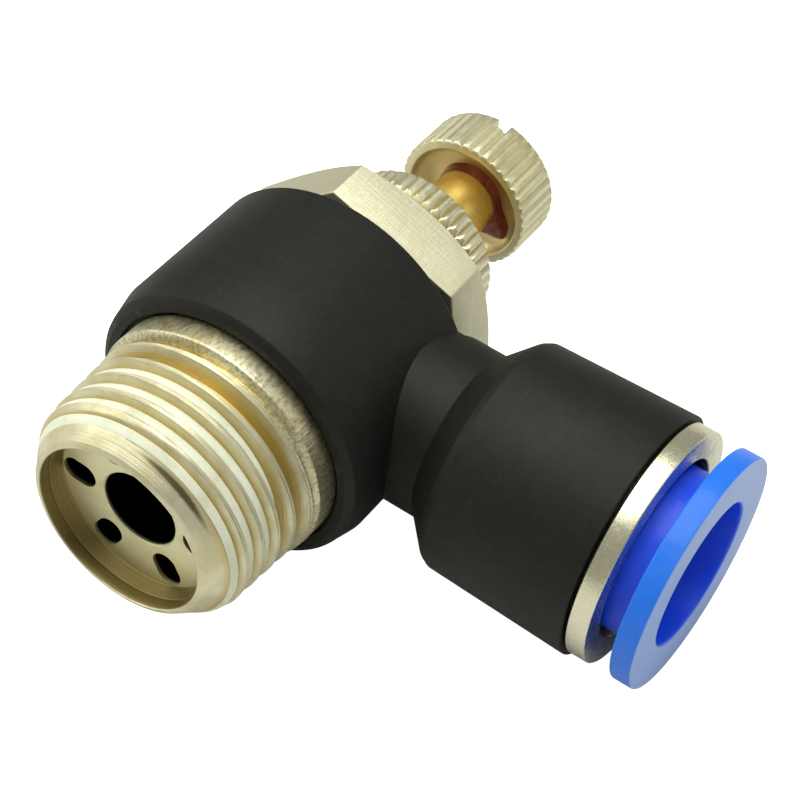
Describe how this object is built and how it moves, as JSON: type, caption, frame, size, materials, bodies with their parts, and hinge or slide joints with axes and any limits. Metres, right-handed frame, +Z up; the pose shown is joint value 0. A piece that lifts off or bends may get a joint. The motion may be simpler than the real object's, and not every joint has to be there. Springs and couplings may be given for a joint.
{
  "type": "flow control valve",
  "caption": "Elbow flow control valve: taper-threaded stem, swivelling plastic body, push-in tube socket with release ring, and a knurled needle adjuster with lock nut.",
  "frame": {"origin": "centre of the threaded end face, on the stem's axis", "axes": "+Y along the stem towards the knob, +X along the branch towards the release ring, +Z up as the valve lies on its side"},
  "size_m": [0.0497, 0.0521, 0.0256],
  "materials": {
    "nickel_plated_brass": "bright nickel plate, turned and milled, slightly satin",
    "bare_brass": "turned yellow brass",
    "body_plastic": "fine matte black glass-filled plastic",
    "release_plastic": "glossy blue acetal, slightly translucent",
    "seal_rubber": "matte black nitrile",
    "spacer_plastic": "natural acetal",
    "claw_steel": "stamped stainless spring steel",
    "sealant": "soft off-white thread sealant",
    "locking_compound": "cured dark red compound, glossy"
  },
  "bodies": {
    "stem": {"threaded_stem": "nickel_plated_brass", "thread_sealant": "sealant", "valve_seat": "nickel_plated_brass", "check_packing": "seal_rubber", "lower_swivel_o_ring": "seal_rubber", "upper_swivel_o_ring": "seal_rubber", "hex_bonnet": "nickel_plated_brass", "bonnet_o_ring": "seal_rubber"},
    "swivel_body": {"banjo_body": "body_plastic", "tube_packing": "seal_rubber", "packing_spacer": "spacer_plastic", "lock_claw": "claw_steel", "mouth_ring": "nickel_plated_brass"},
    "release": {"release_ring": "release_plastic"},
    "needle_seal": {"needle_o_ring": "seal_rubber"},
    "adjuster": {"needle": "bare_brass", "knob": "nickel_plated_brass", "thread_lock_bead": "locking_compound"},
    "lock": {"lock_nut": "nickel_plated_brass"}
  },
  "joints": [
    {"name": "body_swivel", "type": "hinge", "parent": "stem", "child": "swivel_body", "pos_m": [0, 0.0243, 0], "axis": [0, 1, 0], "continuous": true},
    {"name": "release_push", "type": "slide", "parent": "swivel_body", "child": "release", "axis": [1, 0, 0], "range_m": [-0.002, 0], "stiffness_N_per_m": 400},
    {"name": "needle_turn", "type": "hinge", "parent": "needle_seal", "child": "adjuster", "pos_m": [0, 0.04, 0], "axis": [0, 1, 0], "range_deg": [-2160, 360]},
    {"name": "needle_lift", "type": "slide", "parent": "stem", "child": "needle_seal", "axis": [0, 1, 0], "range_m": [-0.0045, 0.00075]},
    {"name": "lock_nut_turn", "type": "hinge", "parent": "stem", "child": "lock", "pos_m": [0, 0.039, 0], "axis": [0, 1, 0], "range_deg": [0, 720]}
  ],
  "couplings": [
    {"joint": "needle_lift", "follows": "needle_turn", "m_per_rad": 0.00011937}
  ]
}
